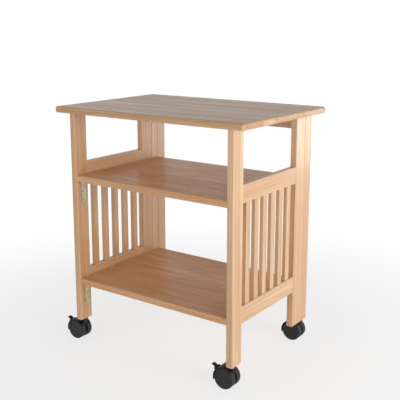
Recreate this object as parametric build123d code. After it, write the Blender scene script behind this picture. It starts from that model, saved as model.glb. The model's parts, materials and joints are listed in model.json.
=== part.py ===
from build123d import *
from math import cos, radians, sin
import os

# Mobile printer stand: a solid wood trolley with a top board and two shelves between
# two slatted side frames, on four twin-wheel swivel casters.
#
# Millimetres. The origin is on the floor, under the centre of the top board.
# +X points to the right-hand side frame, +Y to the back and +Z up.

# ---- Top board --------------------------------------------------------------------
TOP_WIDTH = 660.0
TOP_DEPTH = 458.0
TOP_THICKNESS = 19.0
TOP_EDGE_RADIUS = 7.0
TOP_CORNER_RADIUS = 9.0
SIDE_OVERHANG = 41.0
FRONT_OVERHANG = 21.0
BACK_OVERHANG = 11.0

# ---- Uprights ---------------------------------------------------------------------
POST_LENGTH = 648.0
POST_THICKNESS = 20.0
FRONT_POST_DEPTH = 47.0
BACK_POST_DEPTH = 50.0
BACK_LEG_DEPTH = 41.0
SPACER_DEPTH = 30.0  # strip that sets the left frame forward of the right one
POST_EASE = 2.0

# ---- Side rails and slats ---------------------------------------------------------
RAIL_HEIGHT = 50.0
RAIL_INSET = 1.0  # each rail face lies this far inside the post face
MID_RAIL_BOTTOM = 447.0  # above the lower ends of the posts
LOW_RAIL_BOTTOM = 111.5
RAIL_EASE = 1.5
TENON_LENGTH = 15.0
TENON_THICKNESS = 8.0
TENON_SHOULDER = 5.0
SLAT_WIDTH = 21.5
SLAT_THICKNESS = 12.0
SLAT_HOUSING = 8.0
SLAT_EASE = 1.5
SLAT_COUNT = {"left": 5, "right": 6}

# ---- Shelves and back apron -------------------------------------------------------
SHELF_THICKNESS = 21.0
SHELF_TOP = {"mid": 461.0, "low": 138.0}  # above the lower ends of the posts
SHELF_NOSE_RADIUS = 9.0
SHELF_EASE = 2.0
SHELF_END_GAP = 0.5
APRON_HEIGHT = 50.0
APRON_THICKNESS = 18.0
APRON_BACK_INSET = 4.0

# ---- Wood joints ------------------------------------------------------------------
GLUE_GAP = 0.1  # around tenons, slat ends and dowels
DOWEL_RADIUS = 4.0
DOWEL_CHAMFER = 0.8
TOP_DOWEL_IN_BOARD = 12.0
TOP_DOWEL_IN_POST = 18.0
SEAM_DOWEL_REACH = 12.0
APRON_DOWEL_IN_LEG = 12.0
APRON_DOWEL_IN_APRON = 18.0
APRON_DOWEL_PITCH = 26.0
FRONT_SEAM_HEIGHTS = (85.0, 330.0, 560.0)  # seam dowels above the lower ends of the posts
BACK_SEAM_HEIGHTS = (60.0, 300.0, 590.0)

# ---- Shelf brackets and their screws ----------------------------------------------
BRACKET_WIDTH = 17.0
BRACKET_THICKNESS = 2.0
BRACKET_DROP = 68.0
BRACKET_REACH = 42.0
BRACKET_BEND_RADIUS = 1.5
BRACKET_TIP_CHAMFER = 6.0
BRACKET_FRONT_INSET = 27.0  # bracket centre behind the front face of the front posts
DROP_HOLES = (30.0, 56.0)  # below the shelf
REACH_HOLES = (14.0, 32.0)  # in from the post
SCREW_RADIUS = 1.75
SCREW_LENGTH = 13.0
SCREW_HEAD_RADIUS = 3.6
SCREW_HEAD_HEIGHT = 1.6
SCREW_HEAD_CROWN = 1.0  # fillet that domes the head
SCREW_TIP_RADIUS = 0.3
SCREW_HOLE_CLEARANCE = 0.25

# ---- Casters ----------------------------------------------------------------------
WHEEL_RADIUS = 30.0
WHEEL_WIDTH = 18.5
WHEEL_SPACING = 7.0  # between the inner faces of a pair
WHEEL_EDGE_RADIUS = 3.5
WHEEL_DISH_DEPTH = 12.0
WHEEL_RIM = 6.0
WHEEL_HUB_RADIUS = 7.5
TRAIL = 20.0
AXLE_RADIUS = 3.0
AXLE_IN_WHEEL = 13.0
RUNNING_GAP = 0.05
TREAD_GAP = 1.0
FENDER_THICKNESS = 2.5
FENDER_SIDE_INSET = 0.5
FENDER_START = 62.0  # degrees round the axle, from the stem side over the top
FENDER_END = 196.0
WEB_SIDE_GAP = 0.5
WEB_RADIUS = 25.0
WEB_HUB_RADIUS = 9.0
WEB_START = 20.0  # degrees round the axle
WEB_END = 200.0
WEB_LEVER_CLEARANCE = 30.0  # degrees before the brake lever
SECTOR_STEPS = 12
CROWN_RADIUS = 8.0
CROWN_RISE = 2.7
CROWN_EDGE_RADIUS = 0.8
SWIVEL_GAP = 0.3
SOCKET_FLANGE = 1.5
SOCKET_FLANGE_RADIUS = 8.5
SOCKET_RADIUS = 5.5
SOCKET_LENGTH = 38.0
STEM_RADIUS = 4.0
STEM_TOP_GAP = 2.0
STEM_GRIP_RADIUS = 2.0
STEM_SHOULDER_DROP = 7.0
STEM_GRIP_DEPTH = 14.0

# ---- Brake levers of the front casters --------------------------------------------
LEVER_ANGLE = 152.0  # degrees round the axle
LEVER_PRESS = 22.0  # travel to the locked position
LEVER_PIVOT_RISE = 3.3
LEVER_LENGTH = 17.2
LEVER_WIDTH = 14.0
LEVER_THICKNESS = 3.0
LEVER_PAD_RADIUS = 2.4
BARREL_RADIUS = 3.2
CAM_RADIUS = 3.2
CAM_TREAD_GAP = 0.4
TRUNNION_RADIUS = 2.0
EAR_RADIUS = 4.5
EAR_THICKNESS = 3.0
EAR_GAP = 0.3
LEVER_WINDOW_HALF_ANGLE = 14.0

# ---- Values that follow from the ones above ---------------------------------------
FRAME_HALF_WIDTH = TOP_WIDTH / 2 - SIDE_OVERHANG
POST_INNER_X = FRAME_HALF_WIDTH - POST_THICKNESS
POST_CENTRE_X = FRAME_HALF_WIDTH - POST_THICKNESS / 2
FRAME_FRONT = FRONT_OVERHANG - TOP_DEPTH / 2
FRAME_BACK = TOP_DEPTH / 2 - BACK_OVERHANG
LEG_FRONT = FRAME_BACK - BACK_LEG_DEPTH
FENDER_INNER = WHEEL_RADIUS + TREAD_GAP
FENDER_OUTER = FENDER_INNER + FENDER_THICKNESS
CASTER_HEIGHT = (
    WHEEL_RADIUS + FENDER_OUTER + CROWN_RISE + SWIVEL_GAP + SOCKET_FLANGE
)
POST_TOP = CASTER_HEIGHT + POST_LENGTH
PAIR_HALF_WIDTH = WHEEL_SPACING / 2 + WHEEL_WIDTH
CROWN_TOP = CASTER_HEIGHT - SOCKET_FLANGE - SWIVEL_GAP
CUT_RADIUS = 1.3 * FENDER_OUTER  # reach of the wedges that trim the hood
CUT_MARGIN = 1.0  # by which a cutting shape passes the piece it cuts
SIDES = {"left": -1, "right": 1}
# The back post of each side frame ends where the piece behind it begins.
SIDE_FRAME_BACK = {"left": LEG_FRONT - SPACER_DEPTH, "right": LEG_FRONT}


# ---- General helpers --------------------------------------------------------------
def block(x_range, y_range, z_range):
    """Box between two corners, each given as a low and a high value per axis."""
    size = [high - low for low, high in (x_range, y_range, z_range)]
    centre = [(high + low) / 2 for low, high in (x_range, y_range, z_range)]
    return Pos(*centre) * Box(*size)


def rod(radius, start, end, axis):
    """Cylinder along "x", "y" or "z" from the point start to the coordinate end."""
    index = "xyz".index(axis)
    centre = list(start)
    centre[index] = (start[index] + end) / 2
    turn = {"x": Rot(0, 90, 0), "y": Rot(90, 0, 0), "z": Rot(0, 0, 0)}[axis]
    return Pos(*centre) * turn * Cylinder(radius, abs(end - start[index]))


def dowel(start, end, axis):
    """Fluteless dowel with chamfered ends."""
    peg = rod(DOWEL_RADIUS, start, end, axis)
    return chamfer(peg.edges().filter_by(GeomType.CIRCLE), DOWEL_CHAMFER)


def dowel_hole(start, end, axis):
    """Bore for a dowel, wider and longer than it by the glue gap."""
    index = "xyz".index(axis)
    sign = 1 if end > start[index] else -1
    low = list(start)
    low[index] = start[index] - sign * GLUE_GAP
    return rod(DOWEL_RADIUS + GLUE_GAP, low, end + sign * GLUE_GAP, axis)


def post_x_range(side):
    """Low and high X of the uprights on one side."""
    inner, outer = POST_INNER_X * SIDES[side], FRAME_HALF_WIDTH * SIDES[side]
    return min(inner, outer), max(inner, outer)


# ---- Where the fasteners are ------------------------------------------------------
def uprights(side):
    """Name and Y range of every upright on one side, from front to back."""
    back = SIDE_FRAME_BACK[side]
    found = {
        f"{side}_front_post": (FRAME_FRONT, FRAME_FRONT + FRONT_POST_DEPTH),
        f"{side}_back_post": (back - BACK_POST_DEPTH, back),
        f"{side}_back_leg": (LEG_FRONT, FRAME_BACK),
    }
    if side == "left":
        found["left_spacer"] = (back, LEG_FRONT)
    return found


def top_dowel_ends():
    """Start point and end Z of each dowel between an upright and the top board."""
    ends = []
    for side, sign in SIDES.items():
        for name, (front, back) in uprights(side).items():
            quarter = (back - front) / 4
            places = [front + quarter, back - quarter]
            if name.endswith("leg") or name.endswith("spacer"):
                places = [front + quarter + DOWEL_RADIUS / 2]
            for y in places:
                start = (sign * POST_CENTRE_X, y, POST_TOP - TOP_DOWEL_IN_POST)
                ends.append((start, POST_TOP + TOP_DOWEL_IN_BOARD, "z"))
    return ends


def seam_dowel_ends():
    """Dowels across the upright seams behind each side frame."""
    seams = [("right", LEG_FRONT, FRONT_SEAM_HEIGHTS)]
    seams.append(("left", SIDE_FRAME_BACK["left"], FRONT_SEAM_HEIGHTS))
    seams.append(("left", LEG_FRONT, BACK_SEAM_HEIGHTS))
    ends = []
    for side, seam, heights in seams:
        for height in heights:
            x, z = SIDES[side] * POST_CENTRE_X, CASTER_HEIGHT + height
            ends.append(((x, seam - SEAM_DOWEL_REACH, z), seam + SEAM_DOWEL_REACH, "y"))
    return ends


def apron_dowel_ends():
    """Dowels between the ends of the back apron and the back legs."""
    y = FRAME_BACK - APRON_BACK_INSET - APRON_THICKNESS / 2
    middle = POST_TOP - APRON_HEIGHT / 2
    ends = []
    for sign in SIDES.values():
        for z in (middle - APRON_DOWEL_PITCH / 2, middle + APRON_DOWEL_PITCH / 2):
            start = (sign * (POST_INNER_X - APRON_DOWEL_IN_APRON), y, z)
            ends.append((start, sign * (POST_INNER_X + APRON_DOWEL_IN_LEG), "x"))
    return ends


def caster_places():
    """X and Y of each swivel axis."""
    front = FRAME_FRONT + FRONT_POST_DEPTH / 2
    back = FRAME_BACK - BACK_LEG_DEPTH / 2
    places = {}
    for side, sign in SIDES.items():
        places[f"front_{side}"] = (sign * POST_CENTRE_X, front)
        places[f"back_{side}"] = (sign * POST_CENTRE_X, back)
    return places


def bracket_places():
    """X side and Y of the bracket on each front and back post."""
    places = []
    for side, sign in SIDES.items():
        back = SIDE_FRAME_BACK[side] - BACK_POST_DEPTH / 2
        places += [(sign, FRAME_FRONT + BRACKET_FRONT_INSET), (sign, back)]
    return places


# ---- Wooden pieces ----------------------------------------------------------------
def drilled(piece, dowel_ends):
    """The piece with a bore for each of the given dowels."""
    for start, end, axis in dowel_ends:
        piece -= dowel_hole(start, end, axis)
    return piece


def top_board():
    """Top board with rounded edges and blind dowel bores in its underside."""
    half_width, half_depth = TOP_WIDTH / 2, TOP_DEPTH / 2
    board = block(
        (-half_width, half_width),
        (-half_depth, half_depth),
        (POST_TOP, POST_TOP + TOP_THICKNESS),
    )
    board = fillet(board.edges().filter_by(Axis.Z), TOP_CORNER_RADIUS)
    rims = board.edges().group_by(Axis.Z)
    board = fillet(rims[0] + rims[-1], TOP_EDGE_RADIUS)
    return drilled(board, top_dowel_ends())


def upright(side, y_range):
    """One post, leg or spacer with eased edges and its dowel bores."""
    z_range = (CASTER_HEIGHT, POST_TOP)
    post = block(post_x_range(side), y_range, z_range)
    post = fillet(post.edges().filter_by(Axis.Z), POST_EASE)
    post = chamfer(post.edges().group_by(Axis.Z)[0], POST_EASE / 2)
    front, back = y_range
    near = [
        ends
        for ends in top_dowel_ends() + seam_dowel_ends() + apron_dowel_ends()
        if touches(ends, post_x_range(side), (front, back))
    ]
    post = drilled(post, near)
    for x, y in caster_places().values():
        if front < y < back and x * SIDES[side] > 0:
            post -= rod(SOCKET_RADIUS, (x, y, CASTER_HEIGHT), socket_top(), "z")
    return post


def touches(ends, x_range, y_range):
    """Whether a dowel reaches into the given X and Y ranges."""
    start, end, axis = ends
    spans = [[value, value] for value in start]
    spans["xyz".index(axis)] = sorted((start["xyz".index(axis)], end))
    return all(
        low < limit[1] and high > limit[0]
        for (low, high), limit in zip(spans, (x_range, y_range))
    )


def rail_spans(side):
    """Front and back Y of the clear opening between the two posts of a side frame."""
    front = FRAME_FRONT + FRONT_POST_DEPTH
    back = SIDE_FRAME_BACK[side] - BACK_POST_DEPTH
    return front, back


def tenon_block(side, y_range, bottom, gap):
    """Tenon, or with a gap the mortise for it, at one rail height."""
    centre = SIDES[side] * POST_CENTRE_X
    half = TENON_THICKNESS / 2 + gap
    z_range = (bottom + TENON_SHOULDER - gap, bottom + RAIL_HEIGHT - TENON_SHOULDER + gap)
    return block((centre - half, centre + half), y_range, z_range)


def mortised(post, side):
    """A side-frame post with the mortises for the two rails."""
    front, back = rail_spans(side)
    reach = TENON_LENGTH + GLUE_GAP
    for bottom in (MID_RAIL_BOTTOM, LOW_RAIL_BOTTOM):
        height = CASTER_HEIGHT + bottom
        post -= tenon_block(side, (front - reach, front), height, GLUE_GAP)
        post -= tenon_block(side, (back, back + reach), height, GLUE_GAP)
    return post


def slat_centres(side):
    """Y of each slat, evenly spaced between the two posts."""
    front, back = rail_spans(side)
    count = SLAT_COUNT[side]
    gap = (back - front - count * SLAT_WIDTH) / (count + 1)
    return [front + gap + SLAT_WIDTH / 2 + i * (gap + SLAT_WIDTH) for i in range(count)]


def slat_block(side, y, gap):
    """Slat, or with a gap the room its ends take in the rails."""
    centre = SIDES[side] * POST_CENTRE_X
    half_x, half_y = SLAT_THICKNESS / 2 + gap, SLAT_WIDTH / 2 + gap
    low = CASTER_HEIGHT + LOW_RAIL_BOTTOM + RAIL_HEIGHT - SLAT_HOUSING - gap
    high = CASTER_HEIGHT + MID_RAIL_BOTTOM + SLAT_HOUSING + gap
    return block((centre - half_x, centre + half_x), (y - half_y, y + half_y), (low, high))


def slat(side, y):
    """One upright slat with eased edges."""
    stick = slat_block(side, y, 0.0)
    return fillet(stick.edges().filter_by(Axis.Z), SLAT_EASE)


def rail(side, bottom):
    """Side rail with tenons at both ends and housings for the slats."""
    front, back = rail_spans(side)
    centre = SIDES[side] * POST_CENTRE_X
    half = POST_THICKNESS / 2 - RAIL_INSET
    low = CASTER_HEIGHT + bottom
    bar = block((centre - half, centre + half), (front, back), (low, low + RAIL_HEIGHT))
    bar = fillet(bar.edges().filter_by(Axis.Y), RAIL_EASE)
    bar += tenon_block(side, (front - TENON_LENGTH, back + TENON_LENGTH), low, 0.0)
    for y in slat_centres(side):
        bar -= slat_block(side, y, GLUE_GAP)
    return bar


def shelf(level):
    """Shelf with a rounded front edge; its ends meet the side frames."""
    half = POST_INNER_X - SHELF_END_GAP
    top = CASTER_HEIGHT + SHELF_TOP[level]
    board = block((-half, half), (FRAME_FRONT, LEG_FRONT), (top - SHELF_THICKNESS, top))
    long_edges = board.edges().filter_by(Axis.X).group_by(Axis.Y)
    board = fillet(long_edges[0], SHELF_NOSE_RADIUS)
    back_edges = board.edges().filter_by(Axis.X).group_by(Axis.Y)[-1]
    board = fillet(back_edges, SHELF_EASE)
    for part in bracket_screws(level):
        board -= part
    return board


def back_apron():
    """Rail under the top board between the two back legs."""
    back = FRAME_BACK - APRON_BACK_INSET
    bar = block(
        (-POST_INNER_X, POST_INNER_X),
        (back - APRON_THICKNESS, back),
        (POST_TOP - APRON_HEIGHT, POST_TOP),
    )
    lower = bar.edges().filter_by(Axis.X).group_by(Axis.Z)[0]
    bar = fillet(lower, RAIL_EASE)
    return drilled(bar, apron_dowel_ends())


# ---- Shelf brackets ---------------------------------------------------------------
def bracket(sign, y, level):
    """Bent steel strip: one leg down the post, one leg under the shelf."""
    under = CASTER_HEIGHT + SHELF_TOP[level] - SHELF_THICKNESS
    half = BRACKET_WIDTH / 2
    post_leg = block(
        (POST_INNER_X - BRACKET_THICKNESS, POST_INNER_X),
        (-half, half),
        (under - BRACKET_DROP, under),
    )
    shelf_leg = block(
        (POST_INNER_X - BRACKET_REACH, POST_INNER_X),
        (-half, half),
        (under - BRACKET_THICKNESS, under),
    )
    tips = post_leg.edges().filter_by(Axis.X).group_by(Axis.Z)[0]
    post_leg = chamfer(tips, BRACKET_TIP_CHAMFER)
    ends = shelf_leg.edges().filter_by(Axis.Z).group_by(Axis.X)[0]
    shelf_leg = chamfer(ends, BRACKET_TIP_CHAMFER)
    strip = post_leg + shelf_leg
    bend = strip.edges().filter_by(Axis.Y).sort_by_distance(
        (POST_INNER_X - BRACKET_THICKNESS, 0, under - BRACKET_THICKNESS)
    )[0]
    strip = fillet(bend, BRACKET_BEND_RADIUS)
    hole = SCREW_RADIUS + SCREW_HOLE_CLEARANCE
    for drop in DROP_HOLES:
        start = (POST_INNER_X - BRACKET_REACH / 2, 0, under - drop)
        strip -= rod(hole, start, POST_INNER_X, "x")
    for reach in REACH_HOLES:
        start = (POST_INNER_X - reach, 0, under - BRACKET_REACH / 2)
        strip -= rod(hole, start, under, "z")
    if sign < 0:
        strip = mirror(strip, Plane.YZ)
    return Pos(0, y, 0) * strip


def screw():
    """Pan-head wood screw along +Z with the underside of its head at the origin."""
    shank = rod(SCREW_RADIUS, (0, 0, 0), SCREW_LENGTH - SCREW_RADIUS, "z")
    point = Pos(0, 0, SCREW_LENGTH - SCREW_RADIUS / 2) * Cone(SCREW_RADIUS, SCREW_TIP_RADIUS, SCREW_RADIUS)
    head = rod(SCREW_HEAD_RADIUS, (0, 0, 0), -SCREW_HEAD_HEIGHT, "z")
    rim = head.edges().filter_by(GeomType.CIRCLE).group_by(Axis.Z)[0]
    return shank + point + fillet(rim, SCREW_HEAD_CROWN)


def bracket_screws(level):
    """Every screw of the four brackets under one shelf."""
    under = CASTER_HEIGHT + SHELF_TOP[level] - SHELF_THICKNESS
    screws = []
    for sign, y in bracket_places():
        face = sign * (POST_INNER_X - BRACKET_THICKNESS)
        for drop in DROP_HOLES:
            screws.append(Pos(face, y, under - drop) * Rot(0, 90 * sign, 0) * screw())
        for reach in REACH_HOLES:
            x = sign * (POST_INNER_X - reach)
            screws.append(Pos(x, y, under - BRACKET_THICKNESS) * screw())
    return screws


# ---- Casters, in a frame with the swivel axis on Z and the floor at Z = 0 ----------
def socket_top():
    """Height of the closed end of the caster sockets."""
    return CASTER_HEIGHT + SOCKET_LENGTH


def caster_socket():
    """Steel sleeve with a flange, driven into the lower end of an upright."""
    sleeve = rod(SOCKET_RADIUS, (0, 0, CASTER_HEIGHT), socket_top(), "z")
    flange = rod(SOCKET_FLANGE_RADIUS, (0, 0, CASTER_HEIGHT - SOCKET_FLANGE), CASTER_HEIGHT, "z")
    flange = fillet(flange.edges().group_by(Axis.Z)[0], SOCKET_FLANGE / 3)
    bore_end = socket_top() - STEM_TOP_GAP / 2
    bore = rod(STEM_RADIUS + RUNNING_GAP, (0, 0, CASTER_HEIGHT - SOCKET_FLANGE), bore_end, "z")
    return sleeve + flange - bore


def caster_stem():
    """Stepped steel pin: it turns in the socket and is fixed in the hood."""
    shoulder = CROWN_TOP - STEM_SHOULDER_DROP
    top = socket_top() - STEM_TOP_GAP
    shank = rod(STEM_RADIUS, (0, 0, shoulder), top, "z")
    shank = chamfer(shank.edges().group_by(Axis.Z)[-1], STEM_RADIUS / 4)
    return shank + rod(STEM_GRIP_RADIUS, (0, 0, shoulder - STEM_GRIP_DEPTH), shoulder, "z")


def axle_point(radius, angle):
    """X and Z at a radius and an angle in degrees round the axle."""
    turn = radians(angle)
    return radius * cos(turn) - TRAIL, radius * sin(turn) + WHEEL_RADIUS


def about_axle(radius, half_width):
    """Disc round the axle."""
    return rod(radius, (-TRAIL, -half_width, WHEEL_RADIUS), half_width, "y")


def sector(radius, start, end, half_width):
    """Wedge round the axle between two angles, wide enough to trim a disc."""
    step = (end - start) / SECTOR_STEPS
    rim = [axle_point(radius, start + step * i) for i in range(SECTOR_STEPS + 1)]
    outline = Polyline((-TRAIL, WHEEL_RADIUS), *rim, close=True)
    face = Plane.XZ * make_face(outline)
    return extrude(face, half_width, both=True)


def lever_pivot():
    """X and Z of the brake lever's pivot."""
    return axle_point(FENDER_OUTER + LEVER_PIVOT_RISE, LEVER_ANGLE)


def fender():
    """Curved guard over the treads of both wheels."""
    half = PAIR_HALF_WIDTH - FENDER_SIDE_INSET
    ring = about_axle(FENDER_OUTER, half) - about_axle(FENDER_INNER, half + CUT_MARGIN)
    return ring & sector(CUT_RADIUS, FENDER_START, FENDER_END, half + CUT_MARGIN)


def web():
    """Central wall between the two wheels, round the axle and the stem."""
    half = WHEEL_SPACING / 2 - WEB_SIDE_GAP
    arc = about_axle(FENDER_OUTER - FENDER_THICKNESS / 2, half)
    guard = arc & sector(CUT_RADIUS, FENDER_START, LEVER_ANGLE - WEB_LEVER_CLEARANCE, half)
    wall = about_axle(WEB_RADIUS, half) & sector(CUT_RADIUS, WEB_START, WEB_END, half)
    hub = about_axle(WEB_HUB_RADIUS, half)
    bottom = CROWN_TOP - STEM_SHOULDER_DROP - STEM_GRIP_DEPTH
    neck_x = (-TRAIL / 2, half + CUT_MARGIN)
    neck = block(neck_x, (-half, half), (bottom - CUT_MARGIN, CROWN_TOP - CROWN_RISE))
    return guard + wall + hub + neck


def crown():
    """Round boss that holds the stem, relieved over the two wheels."""
    bottom = CROWN_TOP - STEM_SHOULDER_DROP * 2
    boss = rod(CROWN_RADIUS, (0, 0, bottom), CROWN_TOP, "z")
    boss = fillet(boss.edges().group_by(Axis.Z)[-1], CROWN_EDGE_RADIUS)
    return boss - about_axle(FENDER_INNER, PAIR_HALF_WIDTH)


def lever_ears():
    """Two ears on the fender for the lever's trunnions."""
    x, z = lever_pivot()
    inner = LEVER_WIDTH / 2 + EAR_GAP
    ears = None
    for sign in (-1, 1):
        ear = rod(EAR_RADIUS, (x, sign * inner, z), sign * (inner + EAR_THICKNESS), "y")
        ears = ear if ears is None else ears + ear
    return ears


def lever_window():
    """Room in the hood for the lever's barrel and cam."""
    half = LEVER_WIDTH / 2 + EAR_GAP
    start = LEVER_ANGLE - LEVER_WINDOW_HALF_ANGLE
    end = LEVER_ANGLE + LEVER_WINDOW_HALF_ANGLE
    wedge = sector(CUT_RADIUS, start, end, half)
    return wedge - about_axle(WEB_RADIUS, half)


def caster_hood(braked):
    """Nylon body of a caster."""
    body = fender() + crown() + web()
    if braked:
        x, z = lever_pivot()
        body += lever_ears()
        body -= lever_window()
        reach = LEVER_WIDTH / 2 + EAR_GAP + EAR_THICKNESS
        body -= rod(TRUNNION_RADIUS + RUNNING_GAP, (x, -reach, z), reach, "y")
    shoulder = CROWN_TOP - STEM_SHOULDER_DROP
    body -= rod(STEM_RADIUS, (0, 0, shoulder), CROWN_TOP, "z")
    body -= rod(STEM_GRIP_RADIUS, (0, 0, shoulder - STEM_GRIP_DEPTH), shoulder, "z")
    return body - about_axle(AXLE_RADIUS, WHEEL_SPACING)


def caster_axle():
    """Steel pin fixed in the hood, with a wheel on each end."""
    pin = about_axle(AXLE_RADIUS, WHEEL_SPACING / 2 + AXLE_IN_WHEEL)
    return chamfer(pin.edges().filter_by(GeomType.CIRCLE), AXLE_RADIUS / 6)


def caster_wheel(sign):
    """Dished nylon wheel with a plain outer face, on the given Y side."""
    inner, outer = WHEEL_SPACING / 2, PAIR_HALF_WIDTH
    disc = rod(WHEEL_RADIUS, (-TRAIL, inner, WHEEL_RADIUS), outer, "y")
    rims = disc.edges().filter_by(GeomType.CIRCLE).group_by(Axis.Y)
    disc = fillet(rims[-1], WHEEL_EDGE_RADIUS)
    rims = disc.edges().filter_by(GeomType.CIRCLE).group_by(Axis.Y)
    disc = fillet(rims[0], WHEEL_EDGE_RADIUS / 3)
    dish_end = inner + WHEEL_DISH_DEPTH
    dish = rod(WHEEL_RADIUS - WHEEL_RIM, (-TRAIL, inner, WHEEL_RADIUS), dish_end, "y")
    dish -= rod(WHEEL_HUB_RADIUS, (-TRAIL, inner, WHEEL_RADIUS), dish_end, "y")
    bore_end = inner + AXLE_IN_WHEEL + RUNNING_GAP * 10
    bore = rod(AXLE_RADIUS + RUNNING_GAP, (-TRAIL, inner, WHEEL_RADIUS), bore_end, "y")
    wheel = disc - dish - bore
    return wheel if sign > 0 else mirror(wheel, Plane.XZ)


def brake_lever():
    """Foot lever with a cam that swings down on the treads when it is pressed."""
    x, z = lever_pivot()
    half = LEVER_WIDTH / 2
    barrel = rod(BARREL_RADIUS, (x, -half, z), half, "y")
    reach = half + EAR_GAP + EAR_THICKNESS
    barrel += rod(TRUNNION_RADIUS, (x, -reach, z), reach, "y")
    gap_to_tread = TREAD_GAP + FENDER_THICKNESS + LEVER_PIVOT_RISE
    cam_offset = gap_to_tread - CAM_TREAD_GAP - CAM_RADIUS
    cam_turn = radians(LEVER_ANGLE - 180 - LEVER_PRESS)
    cam_x, cam_z = x + cam_offset * cos(cam_turn), z + cam_offset * sin(cam_turn)
    cam = rod(CAM_RADIUS, (cam_x, -half, cam_z), half, "y")
    plate = block((0, LEVER_LENGTH), (-half, half), (-LEVER_THICKNESS / 2, LEVER_THICKNESS / 2))
    pad = rod(LEVER_PAD_RADIUS, (LEVER_LENGTH - LEVER_PAD_RADIUS, -half, 0), half, "y")
    paddle = Pos(x, 0, z) * Rot(0, -LEVER_ANGLE, 0) * (plate + pad)
    return barrel + cam + paddle


# ---- Node list --------------------------------------------------------------------
def wooden_nodes():
    """Every wooden node by name."""
    nodes = {"top_board": top_board(), "back_apron": back_apron()}
    for side in SIDES:
        for name, y_range in uprights(side).items():
            post = upright(side, y_range)
            if name.endswith("post"):
                post = mortised(post, side)
            nodes[name] = with_screw_holes(post, side)
        nodes[f"{side}_mid_rail"] = rail(side, MID_RAIL_BOTTOM)
        nodes[f"{side}_low_rail"] = rail(side, LOW_RAIL_BOTTOM)
        for number, y in enumerate(slat_centres(side), start=1):
            nodes[f"{side}_slat_{number}"] = slat(side, y)
    for level in SHELF_TOP:
        nodes[f"{level}_shelf"] = shelf(level)
    return nodes


def with_screw_holes(post, side):
    """The upright less the bracket screws that are driven into it."""
    low, high = post.bounding_box().min, post.bounding_box().max
    for level in SHELF_TOP:
        for item in bracket_screws(level):
            centre = item.bounding_box().center()
            if low.Y < centre.Y < high.Y and centre.X * SIDES[side] > POST_INNER_X - SCREW_LENGTH / 2:
                post -= item
    return post


def fastener_nodes():
    """Dowels, brackets and screws, each kind as one group of solids."""
    groups = {
        "top_dowels": [dowel(*ends) for ends in top_dowel_ends()],
        "seam_dowels": [dowel(*ends) for ends in seam_dowel_ends()],
        "apron_dowels": [dowel(*ends) for ends in apron_dowel_ends()],
    }
    for level in SHELF_TOP:
        groups[f"{level}_shelf_brackets"] = [
            bracket(sign, y, level) for sign, y in bracket_places()
        ]
    groups["bracket_screws"] = [item for level in SHELF_TOP for item in bracket_screws(level)]
    return {name: Compound(children=solids) for name, solids in groups.items()}


def caster_nodes():
    """The pieces of the four casters."""
    nodes = {}
    for place, (x, y) in caster_places().items():
        braked = place.startswith("front")
        pieces = {
            "socket": caster_socket(),
            "stem": caster_stem(),
            "hood": caster_hood(braked),
            "axle": caster_axle(),
            "wheel_front": caster_wheel(-1),
            "wheel_back": caster_wheel(1),
        }
        if braked:
            pieces["lever"] = brake_lever()
        for piece, shape in pieces.items():
            nodes[f"{place}_{piece}"] = Pos(x, y, 0) * shape
    return nodes


os.makedirs("parts", exist_ok=True)
for node, shape in {**wooden_nodes(), **fastener_nodes(), **caster_nodes()}.items():
    export_step(shape, f"parts/{node}.step")
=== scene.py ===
"""Looks of the mobile printer stand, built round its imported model.

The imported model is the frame: every wooden board, bracket and caster pin of it stays where it is and
gets a finish here. Pieces whose moulded or pressed shape needs more detail are built as new surfaces
and ride on the same bodies. Lengths are in metres, +X to the right-hand side frame, +Y to the back
and +Z up.
"""

from __future__ import annotations

import json
import logging
import math
from dataclasses import dataclass
from enum import Enum

import bpy
import numpy as np
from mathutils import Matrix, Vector

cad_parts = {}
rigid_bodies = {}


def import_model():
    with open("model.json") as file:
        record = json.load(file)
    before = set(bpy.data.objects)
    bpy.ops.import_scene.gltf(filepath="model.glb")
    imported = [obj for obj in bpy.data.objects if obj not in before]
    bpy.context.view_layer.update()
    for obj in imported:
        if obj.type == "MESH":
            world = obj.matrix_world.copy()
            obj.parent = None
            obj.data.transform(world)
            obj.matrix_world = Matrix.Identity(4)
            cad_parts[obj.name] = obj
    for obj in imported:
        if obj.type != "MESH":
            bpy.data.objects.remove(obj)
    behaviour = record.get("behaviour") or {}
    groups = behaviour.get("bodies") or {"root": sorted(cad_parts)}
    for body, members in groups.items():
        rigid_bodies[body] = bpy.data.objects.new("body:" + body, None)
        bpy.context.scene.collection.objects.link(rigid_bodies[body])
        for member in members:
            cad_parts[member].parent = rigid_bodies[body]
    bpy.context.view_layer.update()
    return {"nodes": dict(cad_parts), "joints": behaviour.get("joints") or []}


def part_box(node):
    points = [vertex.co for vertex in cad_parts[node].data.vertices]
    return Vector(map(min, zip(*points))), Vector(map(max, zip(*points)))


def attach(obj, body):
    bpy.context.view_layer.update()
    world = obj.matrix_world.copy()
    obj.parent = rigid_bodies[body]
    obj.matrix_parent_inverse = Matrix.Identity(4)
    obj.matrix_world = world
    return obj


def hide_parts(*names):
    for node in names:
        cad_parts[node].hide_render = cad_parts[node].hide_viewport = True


LOG = logging.getLogger("printer_stand")

Socket = bpy.types.NodeSocket
Colour = tuple[float, float, float]
Place = tuple[float, float, float]


class Grain(Enum):
    """Direction of the wood grain, as the index of the axis it runs along."""

    ALONG_X = 0
    ALONG_Y = 1
    ALONG_Z = 2


class Joining(Enum):
    """How a wooden piece is made up: from one stick, or from strips glued edge to edge."""

    SOLID = 0
    EDGE_GLUED = 1


class Side(Enum):
    """The two side frames, with the sign of their X."""

    LEFT = -1
    RIGHT = 1

    @property
    def word(self) -> str:
        """The side's name as it stands in node names."""
        return self.name.lower()


# ---- Node materials ----------------------------------------------------------------


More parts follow.
